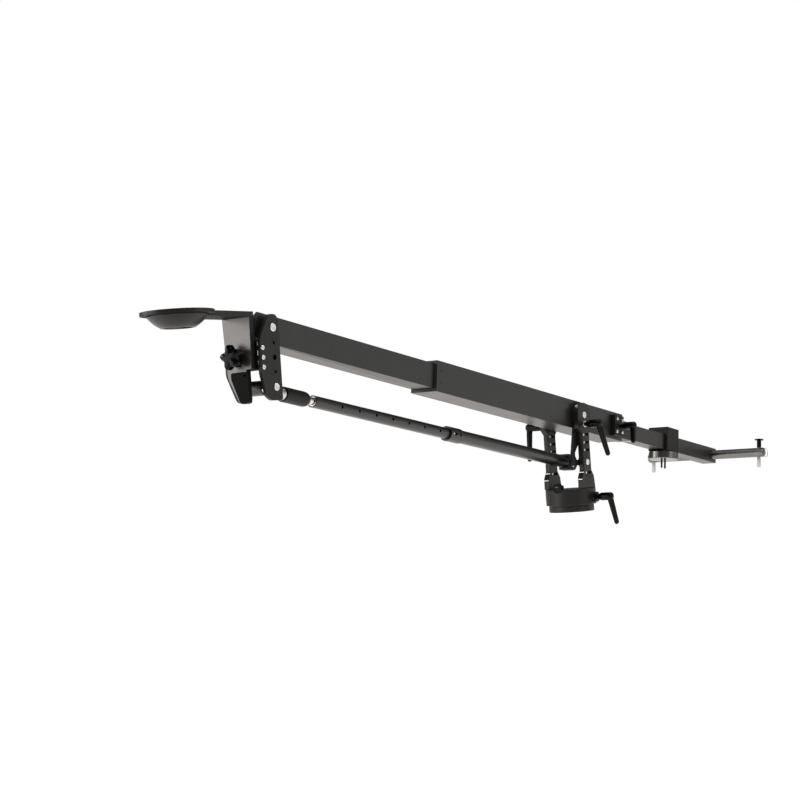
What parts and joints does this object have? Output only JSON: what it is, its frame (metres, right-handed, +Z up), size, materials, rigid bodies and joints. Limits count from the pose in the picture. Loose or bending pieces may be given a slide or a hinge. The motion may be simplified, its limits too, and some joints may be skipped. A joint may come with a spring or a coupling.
{
  "type": "camera jib crane",
  "caption": "Camera jib: telescoping square arm tilting on a turning base, with a level-keeping rod below it, a bowl for a camera head in front and a bar for counterweights behind.",
  "frame": {"origin": "centre of the base's bottom face, where the tripod's thread goes in", "axes": "+Z up along the pan axis, -X towards the bowl, -Y the near side with the pan lever"},
  "size_m": [1.8938, 0.31, 0.437],
  "materials": {
    "black_anodised": "black anodised, satin",
    "black_paint": "black powder coat, satin",
    "black_plastic": "moulded, fine grain",
    "bright_steel": "bright, turned",
    "satin_aluminium": "satin, bare",
    "grey_bush": "dark grey, low friction",
    "level_black": "black bezel round a small vial"
  },
  "bodies": {
    "base": {"base_ring": "black_anodised", "pan_spindle": "bright_steel", "spindle_nut": "bright_steel", "pan_bearing": "bright_steel"},
    "pan_head": {"pan_housing": "black_anodised", "upright_near": "black_anodised", "upright_far": "black_anodised", "level_bracket": "black_paint", "level_vial": "level_black", "tilt_bolt": "bright_steel", "rod_bolt": "bright_steel", "tilt_nut": "bright_steel", "rod_nut": "bright_steel", "brake_plate_near": "black_paint", "brake_plate_far": "black_paint"},
    "pan_lever": {"pan_lever": "black_plastic"},
    "tilt_lever_near": {"tilt_lever_near": "black_plastic"},
    "tilt_lever_far": {"tilt_lever_far": "black_plastic"},
    "arm_outer": {"arm_tube_outer": "black_anodised", "front_slide_bush": "grey_bush", "pivot_sleeve": "bright_steel", "rear_clamp_body": "black_anodised", "clamp_cheek_near": "black_paint", "clamp_cheek_far": "black_paint"},
    "rear_lever": {"rear_lever": "black_plastic"},
    "arm_inner": {"arm_tube_inner": "black_anodised", "fork_bush_near": "grey_bush", "fork_bush_far": "grey_bush", "inner_tail_pad": "grey_bush"},
    "head": {"head_plate_near": "black_anodised", "head_plate_far": "black_anodised", "head_bolt": "bright_steel", "head_rod_bolt": "bright_steel", "head_nut": "bright_steel", "head_rod_nut": "bright_steel", "post_block": "black_paint", "post_tie_upper": "bright_steel", "post_tie_middle": "bright_steel", "post_tie_lower": "bright_steel", "eye_ring_near": "bright_steel", "eye_ring_far": "bright_steel", "bracket_hinge_pin": "bright_steel"},
    "bracket": {"bracket_plate": "black_anodised", "bracket_platform": "black_anodised", "bracket_pad": "black_paint", "bowl_insert": "black_anodised"},
    "star_knob": {"star_knob": "black_plastic"},
    "rod_outer": {"rod_tube_outer": "black_anodised", "rod_rear_knuckle": "black_paint", "rod_collar": "black_anodised"},
    "latch": {"latch_button": "black_plastic"},
    "rod_inner": {"rod_tube_inner": "black_anodised", "rod_sleeve": "black_paint", "rod_front_eye": "bright_steel"},
    "rear_arm": {"rear_tube": "black_anodised", "weight_bar": "satin_aluminium"},
    "saddle": {"saddle_block": "black_paint", "saddle_puck": "satin_aluminium"},
    "hitch_near": {"hitch_pin_near": "bright_steel"},
    "hitch_far": {"hitch_pin_far": "bright_steel"}
  },
  "joints": [
    {"name": "pan", "type": "hinge", "parent": "base", "child": "pan_head", "pos_m": [0, 0, 0], "axis": [0, 0, 1], "continuous": true},
    {"name": "pan_lever_turn", "type": "hinge", "parent": "pan_head", "child": "pan_lever", "pos_m": [0.008, -0.057, 0.029], "axis": [0, 1, 0], "continuous": true},
    {"name": "tilt_lever_near_turn", "type": "hinge", "parent": "pan_head", "child": "tilt_lever_near", "pos_m": [-0.001, -0.0465, 0.1845], "axis": [0, 1, 0], "continuous": true},
    {"name": "tilt_lever_far_turn", "type": "hinge", "parent": "pan_head", "child": "tilt_lever_far", "pos_m": [-0.001, 0.0495, 0.1845], "axis": [0, 1, 0], "continuous": true},
    {"name": "arm_tilt", "type": "hinge", "parent": "pan_head", "child": "arm_outer", "pos_m": [0, 0, 0.204], "axis": [0, 1, 0], "range_deg": [-34, 35]},
    {"name": "rear_lever_turn", "type": "hinge", "parent": "arm_outer", "child": "rear_lever", "pos_m": [0.16545, -0.0403, 0.17483], "axis": [0, 1, 0], "continuous": true},
    {"name": "arm_extend", "type": "slide", "parent": "arm_outer", "child": "arm_inner", "axis": [-0.9848, 0, 0.1736], "range_m": [-0.3, 0.05]},
    {"name": "head_level", "type": "hinge", "parent": "arm_inner", "child": "head", "pos_m": [-0.98481, 0, 0.37765], "axis": [0, 1, 0], "range_deg": [-35, 34]},
    {"name": "bracket_trim", "type": "hinge", "parent": "head", "child": "bracket", "pos_m": [-1.01581, 0, 0.35865], "axis": [0, 1, 0], "range_deg": [-2, 4]},
    {"name": "star_knob_turn", "type": "hinge", "parent": "bracket", "child": "star_knob", "pos_m": [-1.04081, 0, 0.32965], "axis": [1, 0, 0], "continuous": true},
    {"name": "rod_swing", "type": "hinge", "parent": "pan_head", "child": "rod_outer", "pos_m": [0, 0, 0.104], "axis": [0, 1, 0], "range_deg": [-34, 35]},
    {"name": "latch_slide", "type": "slide", "parent": "rod_outer", "child": "latch", "axis": [0, -1, 0], "range_m": [0, 0.003], "stiffness_N_per_m": 300},
    {"name": "rod_extend", "type": "slide", "parent": "rod_outer", "child": "rod_inner", "axis": [-0.9848, 0, 0.1736], "range_m": [-0.3, 0.05]},
    {"name": "rear_extend", "type": "slide", "parent": "arm_outer", "child": "rear_arm", "axis": [0.9848, 0, -0.1736], "range_m": [-0.03, 0.06]},
    {"name": "saddle_slide", "type": "slide", "parent": "rear_arm", "child": "saddle", "axis": [0.9848, 0, -0.1736], "range_m": [-0.1, 0.1]},
    {"name": "hitch_near_slide", "type": "slide", "parent": "rear_arm", "child": "hitch_near", "axis": [0.1736, 0, 0.9848], "range_m": [0, 0.08]},
    {"name": "hitch_far_slide", "type": "slide", "parent": "rear_arm", "child": "hitch_far", "axis": [0.1736, 0, 0.9848], "range_m": [0, 0.08]}
  ],
  "couplings": [
    {"joint": "head_level", "follows": "arm_tilt", "ratio": -1},
    {"joint": "rod_swing", "follows": "arm_tilt", "ratio": 1},
    {"joint": "rod_extend", "follows": "arm_extend", "ratio": 1}
  ]
}
